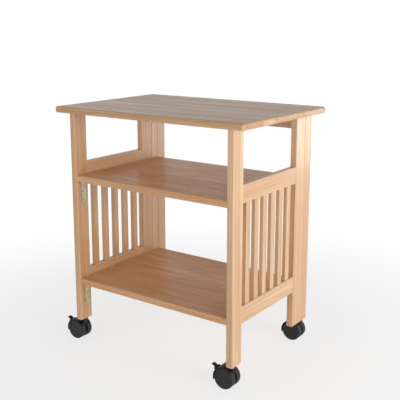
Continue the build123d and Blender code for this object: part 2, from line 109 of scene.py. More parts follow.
class ShaderGraph:
    """A node material under construction, with short calls for the nodes it uses most."""

    def __init__(self, name: str) -> None:
        """Starts an empty material with one Principled shader.

        Args:
            name: Name of the material.
        """
        self.material = bpy.data.materials.new(name)
        self.material.use_nodes = True
        self.tree = self.material.node_tree
        self.shader = self.tree.nodes["Principled BSDF"]

    def node(self, kind: str, **settings: object) -> bpy.types.Node:
        """Adds a node and sets its properties.

        Args:
            kind: Type name of the node.
            settings: Properties of the node by name.

        Returns:
            The new node.
        """
        made = self.tree.nodes.new(kind)
        for key, value in settings.items():
            setattr(made, key, value)
        return made

    def feed(self, socket: Socket, value: object) -> None:
        """Links a socket to the given output, or sets it to the given constant."""
        if isinstance(value, bpy.types.NodeSocket):
            self.tree.links.new(value, socket)
        else:
            socket.default_value = value

    def calc(self, operation: str, *values: object) -> Socket:
        """One arithmetic step on numbers.

        Args:
            operation: Name of the operation, such as "MULTIPLY".
            values: Outputs or constants, in the order of the node's inputs.

        Returns:
            The result.
        """
        made = self.node("ShaderNodeMath", operation=operation)
        for socket, value in zip(made.inputs, values):
            self.feed(socket, value)
        return made.outputs[0]

    def vector(self, operation: str, *values: object) -> bpy.types.Node:
        """One arithmetic step on vectors.

        Args:
            operation: Name of the operation, such as "ADD".
            values: Outputs or constants, in the order of the node's inputs.

        Returns:
            The node, because some operations answer with a number and some with a vector.
        """
        made = self.node("ShaderNodeVectorMath", operation=operation)
        for socket, value in zip(made.inputs, values):
            self.feed(socket, value)
        return made

    def scaled(self, place: Socket, factor: float) -> Socket:
        """The place times one factor."""
        made = self.node("ShaderNodeVectorMath", operation="SCALE")
        self.feed(made.inputs[0], place)
        made.inputs["Scale"].default_value = factor
        return made.outputs[0]

    def combine(self, x: object, y: object, z: object) -> Socket:
        """A vector from three numbers."""
        made = self.node("ShaderNodeCombineXYZ")
        for socket, value in zip(made.inputs, (x, y, z)):
            self.feed(socket, value)
        return made.outputs[0]

    def noise(self, place: Socket, detail: float = 2.0, roughness: float = 0.5) -> Socket:
        """Noise from 0 to 1, one feature per unit of the given place.

        Args:
            place: The place, already scaled.
            detail: Number of finer layers.
            roughness: Strength of the finer layers.

        Returns:
            The noise value.
        """
        made = self.node("ShaderNodeTexNoise")
        self.feed(made.inputs["Vector"], place)
        made.inputs["Scale"].default_value = 1.0
        made.inputs["Detail"].default_value = detail
        made.inputs["Roughness"].default_value = roughness
        return made.outputs["Fac"]

    def fade(self, value: Socket, start: float, end: float) -> Socket:
        """A soft step: 0 where the value is at start, 1 where it is at end."""
        made = self.node("ShaderNodeMapRange", interpolation_type="SMOOTHSTEP")
        self.feed(made.inputs["Value"], value)
        made.inputs["From Min"].default_value = start
        made.inputs["From Max"].default_value = end
        return made.outputs["Result"]

    def mix(self, factor: object, first: object, second: object, blend: str = "MIX") -> Socket:
        """Mixes two colours.

        Args:
            factor: Share of the second colour.
            first: First colour, an output or three numbers.
            second: Second colour, an output or three numbers.
            blend: Blend type of the node.

        Returns:
            The mixed colour.
        """
        made = self.node("ShaderNodeMix", data_type="RGBA", blend_type=blend)
        self.feed(made.inputs[0], factor)
        for socket, colour in ((made.inputs[6], first), (made.inputs[7], second)):
            self.feed(socket, (*colour, 1.0) if isinstance(colour, tuple) else colour)
        return made.outputs[2]

    def place(self) -> Socket:
        """The point in the object's own frame."""
        return self.node("ShaderNodeTexCoord").outputs["Object"]

    def bump(self, height: Socket, depth: float) -> None:
        """Relief on the shader.

        Args:
            height: Height from 0 to 1.
            depth: Depth of the relief in metres.
        """
        made = self.node("ShaderNodeBump")
        self.feed(made.inputs["Height"], height)
        made.inputs["Distance"].default_value = depth
        self.tree.links.new(made.outputs["Normal"], self.shader.inputs["Normal"])


def edge_closeness(graph: ShaderGraph, place: Socket, low: Vector, high: Vector) -> Socket:
    """Distance from a point on a box-shaped piece to the nearest edge of that piece.

    The three depths below the six faces are taken; on a face the smallest is nought, so the middle
    one is the distance to the nearest edge. The middle one is the sum less the smallest and largest.

    Args:
        graph: Material under construction.
        place: The point.
        low: Lowest corner of the piece.
        high: Highest corner of the piece.

    Returns:
        The distance in metres.
    """
    centre, half = (low + high) / 2, (high - low) / 2
    away = graph.vector("ABSOLUTE", graph.vector("SUBTRACT", place, tuple(centre)).outputs[0])
    depth = graph.vector("SUBTRACT", tuple(half), away.outputs[0]).outputs[0]
    parts = graph.node("ShaderNodeSeparateXYZ")
    graph.feed(parts.inputs[0], depth)
    x, y, z = parts.outputs
    smallest = graph.calc("MINIMUM", graph.calc("MINIMUM", x, y), z)
    largest = graph.calc("MAXIMUM", graph.calc("MAXIMUM", x, y), z)
    total = graph.calc("ADD", graph.calc("ADD", x, y), z)
    return graph.calc("SUBTRACT", graph.calc("SUBTRACT", total, smallest), largest)


@dataclass(frozen=True)
class LacqueredBeech:
    """Beech under clear satin lacquer: growth rings, streaks, ray flecks, glue lines, and pale edges
    that are partly rubbed by use and partly a painted highlight.
    """

    pale: Colour = (0.82, 0.575, 0.345)
    tan: Colour = (0.52, 0.275, 0.12)
    rosy: Colour = (0.69, 0.395, 0.205)
    fleck: Colour = (0.30, 0.14, 0.065)
    # Pale edge tone: partly rubbed bare timber, partly a painted highlight on the rims.
    worn_and_highlit: Colour = (0.82, 0.63, 0.44)
    ring_pitch: float = 0.0075
    ring_share: float = 0.42
    streak_share: float = 0.62
    cloud_share: float = 0.55
    strip_width: float = 0.058
    glue_line: float = 0.0004
    # Width and share of the pale edge band, which is partly rubbing and partly a painted highlight.
    wear_and_highlight_band: float = 0.0028
    wear_and_highlight_share: float = 0.35
    roughness: float = 0.34
    coat: float = 0.38
    gloss: float = 0.5

    def dress(self, node: str, grain: Grain, joining: Joining, seed: int, across: int) -> None:
        """Gives one CAD node this finish, with its own run of the grain.

        Args:
            node: Name of the CAD node.
            grain: Direction of the grain.
            joining: Whether the piece is one stick or edge-glued strips.
            seed: Number that sets this piece's own pattern.
            across: Axis index that the glued strips lie side by side on.
        """
        low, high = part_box(node)
        material = self.material(f"beech_{node}", grain, joining, seed, across, low, high)
        wear_finish(bpy.data.objects[node], material)

    def material(
        self,
        name: str,
        grain: Grain,
        joining: Joining,
        seed: int,
        across: int,
        low: Vector,
        high: Vector,
    ) -> bpy.types.Material:
        """Builds the node material for one wooden piece.

        Args:
            name: Name of the material.
            grain: Direction of the grain.
            joining: Whether the piece is one stick or edge-glued strips.
            seed: Number that sets this piece's own pattern.
            across: Axis index that the glued strips lie side by side on.
            low: Lowest corner of the piece.
            high: Highest corner of the piece.

        Returns:
            The material.
        """
        graph = ShaderGraph(name)
        place = graph.place()
        parts = graph.node("ShaderNodeSeparateXYZ")
        graph.feed(parts.inputs[0], place)
        axes = [grain.value, (grain.value + 1) % 3, (grain.value + 2) % 3]
        if joining is Joining.EDGE_GLUED and axes[1] != across:
            axes = [axes[0], axes[2], axes[1]]
        along, side, deep = (parts.outputs[i] for i in axes)
        generator = np.random.default_rng(seed)
        shift = generator.uniform(-4.0, 4.0, 3)
        strip_tone, joint, side_shift = self.strips(graph, joining, side, seed)
        along = graph.calc("ADD", along, float(shift[0]))
        along = graph.calc("ADD", along, graph.calc("MULTIPLY", strip_tone, 3.1))
        rings = self.rings(graph, along, graph.calc("ADD", side, side_shift), deep, generator)
        streaks = self.streaks(graph, along, side, deep, float(shift[1]))
        clouds = self.clouds(graph, along, side, deep, float(shift[2]))
        flecks = self.flecks(graph, along, side, deep)
        fibre = self.fibre(graph, along, side, deep)
        colour = self.colour(graph, rings, streaks, clouds, flecks, strip_tone, joint)
        # Pale edge band: the edges are lightened, partly as rubbing and partly as a painted highlight
        # on the rims.
        edge = edge_closeness(graph, place, low, high)
        ragged = graph.noise(graph.scaled(place, 160.0))
        ragged = graph.calc("MULTIPLY", ragged, self.wear_and_highlight_band)
        rim_wear_and_highlight = graph.fade(graph.calc("ADD", edge, ragged), self.wear_and_highlight_band * 1.7, self.wear_and_highlight_band * 0.4)
        colour = graph.mix(graph.calc("MULTIPLY", rim_wear_and_highlight, self.wear_and_highlight_share), colour, self.worn_and_highlit)
        graph.feed(graph.shader.inputs["Base Color"], colour)
        dulled = graph.calc("MULTIPLY_ADD", streaks, 0.10, self.roughness - 0.05)
        graph.feed(
            graph.shader.inputs["Roughness"],
            graph.calc("MULTIPLY_ADD", rim_wear_and_highlight, 0.10, dulled),
        )
        graph.shader.inputs["Specular IOR Level"].default_value = self.gloss
        graph.shader.inputs["Coat Weight"].default_value = self.coat
        graph.shader.inputs["Coat Roughness"].default_value = 0.16
        relief = graph.calc("MULTIPLY_ADD", joint, -0.9, fibre)
        relief = graph.calc("MULTIPLY_ADD", flecks, -0.35, relief)
        graph.bump(relief, 0.00012)
        return graph.material

    def strips(
        self, graph: ShaderGraph, joining: Joining, side: Socket, seed: int
    ) -> tuple[object, object, object]:
        """Tone, glue line and ring shift of the strip that a point lies in.

        The strip's number is the whole part of the distance across over the strip width; a white
        noise of that number gives its tone, and the nearness to the whole number its glue line.

        Args:
            graph: Material under construction.
            joining: Whether the piece is one stick or edge-glued strips.
            side: Coordinate across the strips.
            seed: Number that sets this piece's own pattern.

        Returns:
            Tone from 0 to 1, glue line from 0 to 1, and shift of the growth rings in metres.
        """
        if joining is Joining.SOLID:
            tone = float(np.random.default_rng(seed + 100).uniform(0.1, 0.9))
            return tone, 0.0, 0.0
        number = graph.calc("DIVIDE", graph.calc("ADD", side, 1.0), self.strip_width)
        whole = graph.calc("FLOOR", number)
        white = graph.node("ShaderNodeTexWhiteNoise", noise_dimensions="1D")
        graph.feed(white.inputs["W"], graph.calc("ADD", whole, seed * 7.31))
        tone = white.outputs["Value"]
        part = graph.calc("SUBTRACT", number, whole)
        near = graph.calc("MINIMUM", part, graph.calc("SUBTRACT", 1.0, part))
        joint = graph.fade(near, self.glue_line / self.strip_width, 0.0)
        centre = graph.calc("MULTIPLY", graph.calc("ADD", whole, 0.5), self.strip_width)
        back = graph.calc("MULTIPLY_ADD", tone, 0.05, graph.calc("SUBTRACT", 0.975, centre))
        return tone, joint, back

    def rings(
        self,
        graph: ShaderGraph,
        along: object,
        side: object,
        deep: object,
        generator: np.random.Generator,
    ) -> Socket:
        """Growth rings: a wave on the distance from a pith line that leans a little off the grain.

        Args:
            graph: Material under construction.
            along: Coordinate along the grain.
            side: Coordinate across the face.
            deep: Coordinate into the piece.
            generator: Source of this piece's own pith place and lean.

        Returns:
            Ring value from 0, early wood, to 1, late wood.
        """
        off_side, off_deep = generator.uniform(-0.03, 0.03), generator.uniform(0.035, 0.07)
        lean = generator.uniform(0.012, 0.03)
        sway = graph.noise(
            graph.combine(
                graph.calc("MULTIPLY", along, 2.6),
                graph.calc("MULTIPLY", side, 22.0),
                graph.calc("MULTIPLY", deep, 22.0),
            ),
            3.0,
        )
        sway = graph.calc("MULTIPLY_ADD", sway, 0.016, -0.008)
        leaning = graph.calc("MULTIPLY_ADD", along, lean, deep)
        wide = graph.calc("ADD", side, float(off_side))
        high = graph.calc("ADD", leaning, float(off_deep))
        squares = graph.calc(
            "ADD", graph.calc("MULTIPLY", wide, wide), graph.calc("MULTIPLY", high, high)
        )
        distance = graph.calc("ADD", graph.calc("SQRT", squares), sway)
        turns = graph.calc("FRACT", graph.calc("DIVIDE", distance, self.ring_pitch))
        rise = graph.fade(turns, 0.1, 0.86)
        fall = graph.fade(turns, 1.0, 0.88)
        return graph.calc("MULTIPLY", rise, fall)

    def streaks(
        self, graph: ShaderGraph, along: object, side: object, deep: object, shift: float
    ) -> Socket:
        """Broad tone streaks: noise drawn out twenty-fold along the grain."""
        place = graph.combine(
            graph.calc("MULTIPLY", along, 1.7),
            graph.calc("MULTIPLY_ADD", side, 55.0, shift),
            graph.calc("MULTIPLY", deep, 55.0),
        )
        return graph.fade(graph.noise(place, 4.0, 0.6), 0.28, 0.72)

    def clouds(
        self, graph: ShaderGraph, along: object, side: object, deep: object, shift: float
    ) -> Socket:
        """Rosy clouds a hand wide: slow noise drawn out four-fold along the grain."""
        place = graph.combine(
            graph.calc("MULTIPLY", along, 3.4),
            graph.calc("MULTIPLY_ADD", side, 14.0, shift),
            graph.calc("MULTIPLY", deep, 14.0),
        )
        return graph.fade(graph.noise(place, 2.0), 0.35, 0.68)

    def flecks(self, graph: ShaderGraph, along: object, side: object, deep: object) -> Socket:
        """Ray flecks: short dark dashes about two millimetres long and a third of one wide."""
        place = graph.combine(
            graph.calc("MULTIPLY", along, 330.0),
            graph.calc("MULTIPLY", side, 1900.0),
            graph.calc("MULTIPLY", deep, 1900.0),
        )
        return graph.fade(graph.noise(place, 0.0), 0.66, 0.76)

    def fibre(self, graph: ShaderGraph, along: object, side: object, deep: object) -> Socket:
        """Fine fibre: noise drawn out thirty-fold along the grain."""
        place = graph.combine(
            graph.calc("MULTIPLY", along, 45.0),
            graph.calc("MULTIPLY", side, 1500.0),
            graph.calc("MULTIPLY", deep, 1500.0),
        )
        return graph.noise(place, 2.0)

    def colour(
        self,
        graph: ShaderGraph,
        rings: Socket,
        streaks: Socket,
        clouds: Socket,
        flecks: Socket,
        tone: object,
        joint: object,
    ) -> Socket:
        """Lays strip tone, clouds, streaks, rings, flecks and glue lines over the pale ground.

        Args:
            graph: Material under construction.
            rings: Ring value.
            streaks: Streak value.
            clouds: Cloud value.
            flecks: Fleck value.
            tone: Strip tone.
            joint: Glue line value.

        Returns:
            The colour.
        """
        ground = graph.mix(graph.calc("MULTIPLY", tone, 0.8), self.pale, self.rosy)
        ground = graph.mix(graph.calc("MULTIPLY", clouds, self.cloud_share), ground, self.rosy)
        ground = graph.mix(graph.calc("MULTIPLY", streaks, self.streak_share), ground, self.tan)
        ground = graph.mix(graph.calc("MULTIPLY", rings, self.ring_share), ground, self.tan)
        ground = graph.mix(graph.calc("MULTIPLY", flecks, 0.5), ground, self.fleck)
        return graph.mix(graph.calc("MULTIPLY", joint, 0.55), ground, self.fleck)


@dataclass(frozen=True)
class MouldedNylon:
    """Black moulded nylon with a fine spark-eroded grain and rubbed high spots."""

    black: Colour = (0.009, 0.009, 0.0087)
    rubbed: Colour = (0.026, 0.025, 0.024)
    roughness: float = 0.52
    grain_pitch: float = 0.0006

    def material(self, name: str) -> bpy.types.Material:
        """Builds the node material.

        Args:
            name: Name of the material.

        Returns:
            The material.
        """
        graph = ShaderGraph(name)
        place = graph.place()
        fine = graph.noise(
            graph.scaled(place, 1 / self.grain_pitch), 3.0, 0.6
        )
        scuff = graph.noise(graph.scaled(place, 70.0), 5.0, 0.7)
        scuff = graph.fade(scuff, 0.52, 0.78)
        colour = graph.mix(graph.calc("MULTIPLY", scuff, 0.5), self.black, self.rubbed)
        graph.feed(graph.shader.inputs["Base Color"], colour)
        rough = graph.calc("MULTIPLY_ADD", scuff, 0.16, self.roughness - 0.04)
        graph.feed(
            graph.shader.inputs["Roughness"],
            graph.calc("MULTIPLY_ADD", fine, 0.08, rough),
        )
        graph.shader.inputs["Specular IOR Level"].default_value = 0.38
        graph.bump(fine, 0.00006)
        return graph.material


@dataclass(frozen=True)
class PlatedSteel:
    """Steel with a thin plated film: mottled tint, fine drawing marks and duller spots."""

    bright: Colour = (0.56, 0.55, 0.38)
    tint: Colour = (0.36, 0.34, 0.17)
    roughness: float = 0.32

    def material(self, name: str) -> bpy.types.Material:
        """Builds the node material.

        Args:
            name: Name of the material.

        Returns:
            The material.
        """
        graph = ShaderGraph(name)
        place = graph.place()
        blotch = graph.noise(graph.scaled(place, 120.0), 4.0, 0.6)
        drawn = graph.noise(
            graph.vector("MULTIPLY", place, (900.0, 900.0, 60.0)).outputs[0], 3.0
        )
        film = graph.fade(blotch, 0.35, 0.7)
        graph.feed(graph.shader.inputs["Base Color"], graph.mix(film, self.bright, self.tint))
        graph.shader.inputs["Metallic"].default_value = 0.92
        rough = graph.calc("MULTIPLY_ADD", film, 0.14, self.roughness - 0.04)
        graph.feed(
            graph.shader.inputs["Roughness"],
            graph.calc("MULTIPLY_ADD", drawn, 0.12, rough),
        )
        graph.bump(drawn, 0.00003)
        return graph.material


def wear_finish(piece: bpy.types.Object, material: bpy.types.Material) -> None:
    """Puts one material into every slot of an object.

    Args:
        piece: The object.
        material: The material.
    """
    if not piece.material_slots:
        piece.data.materials.append(material)
    for slot in piece.material_slots:
        slot.material = material


# ---- Surfaces ----------------------------------------------------------------------


def rings_to_faces(rows: int, turns: int, first: int) -> np.ndarray:
    """Quads between neighbouring closed rings of one grid.

    Point j of ring i has the number first + i * turns + j, and the ring closes on itself, so quad
    (i, j) joins j and j + 1, counted round the ring, on rings i and i + 1.

    Args:
        rows: Number of rings.
        turns: Points in a ring.
        first: Number of the first point.

    Returns:
        An array of quads, four point numbers each.
    """
    ring, step = np.meshgrid(np.arange(rows - 1), np.arange(turns), indexing="ij")
    here, there = ring * turns + step, ring * turns + (step + 1) % turns
    quads = np.stack([here, there, there + turns, here + turns], axis=-1)
    return quads.reshape(-1, 4) + first


class Shell:
    """Closed surfaces collected into one mesh object."""

    def __init__(self) -> None:
        """Starts with no surface."""
        self.points: list[np.ndarray] = []
        self.quads: list[np.ndarray] = []
        self.fans: list[np.ndarray] = []
        self.count = 0

    def capped(self, grid: np.ndarray) -> None:
        """Adds a tube of closed rings whose two ends are closed by a fan to their centres.

        Args:
            grid: Points with the shape rings by points in a ring by three.
        """
        rows, turns, _ = grid.shape
        ends = np.stack([grid[0].mean(0), grid[-1].mean(0)])
        quads = rings_to_faces(rows, turns, self.count)
        step = np.arange(turns)
        after = (step + 1) % turns
        last = (rows - 1) * turns
        pole = rows * turns
        start = np.stack([np.full(turns, pole), after, step], axis=-1)
        close = np.stack([np.full(turns, pole + 1), last + step, last + after], axis=-1)
        fans = np.concatenate([start, close]) + self.count
        points = np.concatenate([grid.reshape(-1, 3), ends])
        if self.volume(points, quads - self.count, fans - self.count) < 0:
            quads, fans = quads[:, ::-1], fans[:, ::-1]
        self.points.append(points)
        self.quads.append(quads)
        self.fans.append(fans)
        self.count += len(points)

    @staticmethod
    def volume(points: np.ndarray, quads: np.ndarray, fans: np.ndarray) -> float:
        """Volume inside the faces: a sixth of each triangle's triple product, summed."""
        triangles = np.concatenate([quads[:, [0, 1, 2]], quads[:, [0, 2, 3]], fans])
        a, b, c = (points[triangles[:, i]] for i in range(3))
        return float(np.einsum("ij,ij->", a, np.cross(b, c)) / 6)

    def piece(self, name: str, crease: float = 32.0) -> bpy.types.Object:
        """Makes the mesh object.

        Args:
            name: Name of the object.
            crease: Angle in degrees above which an edge is shaded sharp.

        Returns:
            The object, linked to the scene.
        """
        mesh = bpy.data.meshes.new(name)
        faces = np.concatenate(self.quads).tolist() + np.concatenate(self.fans).tolist()
        mesh.from_pydata(np.concatenate(self.points).tolist(), [], faces)
        mesh.shade_smooth()
        mesh.set_sharp_from_angle(angle=math.radians(crease))
        mesh.update()
        made = bpy.data.objects.new(name, mesh)
        bpy.context.collection.objects.link(made)
        return made


def arc(centre: tuple[float, float], radius: float, start: float, end: float) -> np.ndarray:
    """Seven points of a circular arc between two angles in degrees."""
    turn = np.radians(np.linspace(start, end, 7))
    return np.stack([centre[0] + radius * np.cos(turn), centre[1] + radius * np.sin(turn)], -1)


def about_y(profile: np.ndarray, centre: Vector, turns: int) -> np.ndarray:
    """Turns a profile about an axis along Y.

    A profile point (y, r) at turn t lies at (r cos t, y, r sin t) from the centre.

    Args:
        profile: Rows of distance along the axis and radius.
        centre: A point on the axis.
        turns: Points in a ring.

    Returns:
        The grid of points.
    """
    turn = np.linspace(0.0, 2 * np.pi, turns, endpoint=False)
    along, radius = profile[:, :1], profile[:, 1:]
    grid = np.stack([radius * np.cos(turn), along + 0 * turn, radius * np.sin(turn)], axis=-1)
    return grid + np.array(centre)


# ---- Sub-assemblies ----------------------------------------------------------------


@dataclass
class Joinery:
    """The wooden pieces of the stand."""

    beech: LacqueredBeech = LacqueredBeech()
    # The shelves' wider, stronger pale edge band is partly a painted highlight on their front rims.
    shelf_beech: LacqueredBeech = LacqueredBeech(
        pale=(0.86, 0.575, 0.335),
        tan=(0.56, 0.275, 0.115),
        rosy=(0.75, 0.400, 0.20),
        coat=0.05,
        gloss=0.14,
        wear_and_highlight_band=0.0055,
        wear_and_highlight_share=0.6,
        roughness=0.29,
    )
    # The top's darker tones are painted shade for its dim top face; its wider pale edge band is partly
    # a painted highlight on its rim.
    shaded_top_beech: LacqueredBeech = LacqueredBeech(
        pale=(0.82, 0.560, 0.34),
        tan=(0.40, 0.205, 0.09),
        rosy=(0.62, 0.345, 0.18),
        cloud_share=0.7,
        coat=0.05,
        gloss=0.16,
        wear_and_highlight_band=0.0055,
        wear_and_highlight_share=0.6,
        roughness=0.27,
    )

    def build(self, nodes: list[str]) -> None:
        """Dresses every wooden node.

        Args:
            nodes: Names of all nodes.
        """
        for seed, node in enumerate(sorted(nodes), start=3):
            run = self.run_of(node)
            if run is None:
                continue
            grain, joining, across = run
            finish = self.finish_of(node)
            finish.dress(node, grain, joining, seed, across)
            LOG.info("beech on %s", node)

    def finish_of(self, node: str) -> LacqueredBeech:
        """The top's, the shelves' or the frame's finish."""
        # The top takes the darker copy of the beech, whose extra darkness is painted shade.
        if node == "top_board":
            return self.shaded_top_beech
        return self.shelf_beech if node.endswith("_shelf") else self.beech

    @staticmethod
    def run_of(node: str) -> tuple[Grain, Joining, int] | None:
        """Grain, joining and strip axis of a wooden node, or None for another material."""
        if node == "top_board" or node.endswith("_shelf"):
            return Grain.ALONG_X, Joining.EDGE_GLUED, 1
        if node in ("back_apron", "apron_dowels"):
            return Grain.ALONG_X, Joining.SOLID, 2
        if node.endswith("_rail") or node == "seam_dowels":
            return Grain.ALONG_Y, Joining.SOLID, 2
        uprights = ("_post", "_leg", "_spacer", "top_dowels")
        if node.endswith(uprights) or "_slat_" in node:
            return Grain.ALONG_Z, Joining.SOLID, 1
        return None


@dataclass
class Hardware:
    """Brackets, screws and casters."""

    nylon: MouldedNylon = MouldedNylon()
    yellow_zinc: PlatedSteel = PlatedSteel()
    white_zinc: PlatedSteel = PlatedSteel((0.60, 0.60, 0.60), (0.45, 0.45, 0.44), 0.28)

    def build(self, nodes: list[str]) -> None:
        """Dresses every metal and nylon node.

        Args:
            nodes: Names of all nodes.
        """
        nylon = self.nylon.material("moulded_nylon")
        yellow = self.yellow_zinc.material("yellow_zinc")
        white = self.white_zinc.material("white_zinc")
        for node in nodes:
            if "bracket" in node:
                wear_finish(bpy.data.objects[node], yellow)
            elif node.endswith(("_socket", "_stem", "_axle")):
                wear_finish(bpy.data.objects[node], white)
            elif node.startswith(("front_", "back_")) and node != "back_apron":
                wear_finish(bpy.data.objects[node], nylon)


@dataclass
class CasterWheels:
    """The eight wheels, each with a recessed face panel, hub cap and tread band."""

    places: tuple[str, ...] = ("front_left", "front_right", "back_left", "back_right")
    bore: float = 0.00305
    bore_depth: float = 0.0135
    hub: float = 0.0075
    dish: float = 0.012
    rim: float = 0.006
    edge: float = 0.0035
    inner_edge: float = 0.0012
    panel: float = 0.0205
    panel_depth: float = 0.0007
    cap: float = 0.0062
    cap_rise: float = 0.0006
    turns: int = 96

    def build(self, nylon: MouldedNylon) -> None:
        """Builds and dresses all wheels.

        Args:
            nylon: Finish of the wheels.
        """
        finish = nylon.material("wheel_nylon")
        for place in self.places:
            for face, sign in (("front", -1.0), ("back", 1.0)):
                node = f"{place}_wheel_{face}"
                low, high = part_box(node)
                shell = Shell()
                shell.capped(self.wheel(low, high, sign))
                made = shell.piece(f"{node}_moulding")
                wear_finish(made, finish)
                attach(made, node)
                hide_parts(node)
                LOG.info("moulded %s", node)

    def wheel(self, low: Vector, high: Vector, sign: float) -> np.ndarray:
        """One wheel as a turned profile.

        The profile starts on the axis at the blind end of the bore and follows the hub, the dish
        behind the rim, the rounded tread and the recessed face panel to the hub cap's centre.

        Args:
            low: Lowest corner of the wheel.
            high: Highest corner of the wheel.
            sign: Side that the plain face looks to.

        Returns:
            The grid of points.
        """
        radius, width = (high.z - low.z) / 2, high.y - low.y
        inside = radius - self.rim
        face = width - self.panel_depth
        parts = [
            np.array([(self.bore_depth, 1e-5), (self.bore_depth, self.bore), (0.0, self.bore)]),
            np.array([(0.0, self.hub - 0.0005), (0.0005, self.hub), (self.dish, self.hub)]),
            np.array([(self.dish, self.hub + 0.0004), (self.dish, inside - 0.0006)]),
            np.array([(self.dish - 0.0006, inside), (0.0, inside)]),
            arc((self.inner_edge, radius - self.inner_edge), self.inner_edge, 180.0, 90.0),
            np.array([(width * 0.34, radius), (width * 0.36, radius - 0.00015)]),
            np.array([(width * 0.38, radius), (width - self.edge, radius)]),
            arc((width - self.edge, radius - self.edge), self.edge, 80.0, 0.0),
            np.array([(width, self.panel + 0.0009), (width - 0.0002, self.panel + 0.0003)]),
            np.array([(face, self.panel - 0.0003), (face, self.cap + 0.0004)]),
            np.array([(face + 0.0003, self.cap), (face + self.cap_rise, self.cap - 0.0012)]),
            np.array([(face + self.cap_rise, 1e-5)]),
        ]
        profile = np.concatenate(parts)
        start = low.y if sign > 0 else high.y
        profile[:, 0] = profile[:, 0] * sign + start
        centre = Vector(((low.x + high.x) / 2, 0.0, (low.z + high.z) / 2))
        return about_y(profile, centre, self.turns)


@dataclass
class BrakeLevers:
    """The two foot levers: a curled, ribbed paddle on a barrel with a cam."""

    angle: float = 152.0
    length: float = 0.0172
    half_width: float = 0.007
    barrel: float = 0.0032
    trunnion: float = 0.002
    reach: float = 0.0103
    thickness: float = 0.0030
    rib: float = 0.00035
    cam: float = 0.0032
    cam_offset: float = 0.0032

    def build(self, nylon: MouldedNylon, joints: list[dict]) -> None:
        """Builds and dresses both levers.

        Args:
            nylon: Finish of the levers.
            joints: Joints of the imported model, which give the pivots.
        """
        finish = nylon.material("lever_nylon")
        for joint in joints:
            if not joint["name"].endswith("_brake"):
                continue
            node = joint["child"]
            pivot = Vector(joint["pos_m"])
            shell = Shell()
            shell.capped(about_y(self.barrel_profile(), pivot, 40))
            shell.capped(self.paddle(pivot))
            shell.capped(about_y(self.cam_profile(), self.cam_centre(pivot), 40))
            made = shell.piece(f"{node}_moulding")
            wear_finish(made, finish)
            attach(made, node)
            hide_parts(node)
            LOG.info("moulded %s", node)

    def barrel_profile(self) -> np.ndarray:
        """Half outline of the barrel and its two trunnions, along Y."""
        half, reach = self.half_width, self.reach
        right = [(half - 0.0005, self.barrel), (half, self.barrel - 0.0005), (half, self.trunnion)]
        right += [(reach - 0.0003, self.trunnion), (reach, self.trunnion - 0.0003), (reach, 1e-5)]
        left = [(-along, radius) for along, radius in reversed(right)]
        return np.array(left + right)

    def cam_profile(self) -> np.ndarray:
        """Half outline of the cam, along Y."""
        half = self.half_width
        return np.array([(-half, 1e-5), (-half, self.cam), (half, self.cam), (half, 1e-5)])

    def cam_centre(self, pivot: Vector) -> Vector:
        """Centre of the cam, behind the pivot as seen from the paddle and turned back by the travel."""
        turn = math.radians(self.angle - 180.0 - 22.0)
        return pivot + Vector((math.cos(turn), 0.0, math.sin(turn))) * self.cam_offset

    def paddle(self, pivot: Vector) -> np.ndarray:
        """The paddle as a rounded section carried along a curled path.

        The path is a parabola from the pivot to the tip whose middle control point is pulled up,
        so that the paddle curls over. At each station the section is a superellipse, half_width
        wide and half the thickness high; its upper half carries ribs, a cosine along the path. The
        last stations shrink to a round tip.

        Args:
            pivot: Place of the lever's pivot.

        Returns:
            The grid of points.
        """
        run = np.linspace(0.0, 1.0, 49)[:, None]
        turn = math.radians(self.angle)
        tip = np.array([math.cos(turn), math.sin(turn)]) * self.length
        middle = tip * 0.5 + np.array([math.sin(turn), -math.cos(turn)]) * 0.0022
        path = 2 * run * (1 - run) * middle + run**2 * tip
        slope = np.gradient(path, axis=0)
        slope /= np.linalg.norm(slope, axis=1, keepdims=True)
        normal = np.stack([slope[:, 1], -slope[:, 0]], axis=-1)
        round_turn = np.linspace(0.0, 2 * np.pi, 56, endpoint=False)
        across = np.sign(np.cos(round_turn)) * np.abs(np.cos(round_turn)) ** 0.35
        high = np.sign(np.sin(round_turn)) * np.abs(np.sin(round_turn)) ** 0.8
        tip_round = np.sqrt(np.clip(1.0 - np.clip((run - 0.86) / 0.14, 0, 1) ** 2, 0.02, 1.0))
        ribs = self.rib * np.cos(run * 2 * np.pi * 7) * (run > 0.4) * (run < 0.93)
        lift = high * self.thickness / 2 * (0.55 + 0.45 * tip_round) + ribs * (high > 0.3)
        y = across * self.half_width * (0.72 + 0.28 * tip_round) + pivot.y
        x = path[:, :1] + normal[:, :1] * lift + pivot.x
        z = path[:, 1:] + normal[:, 1:] * lift + pivot.z
        return np.stack([x, y + 0 * x, z], axis=-1)


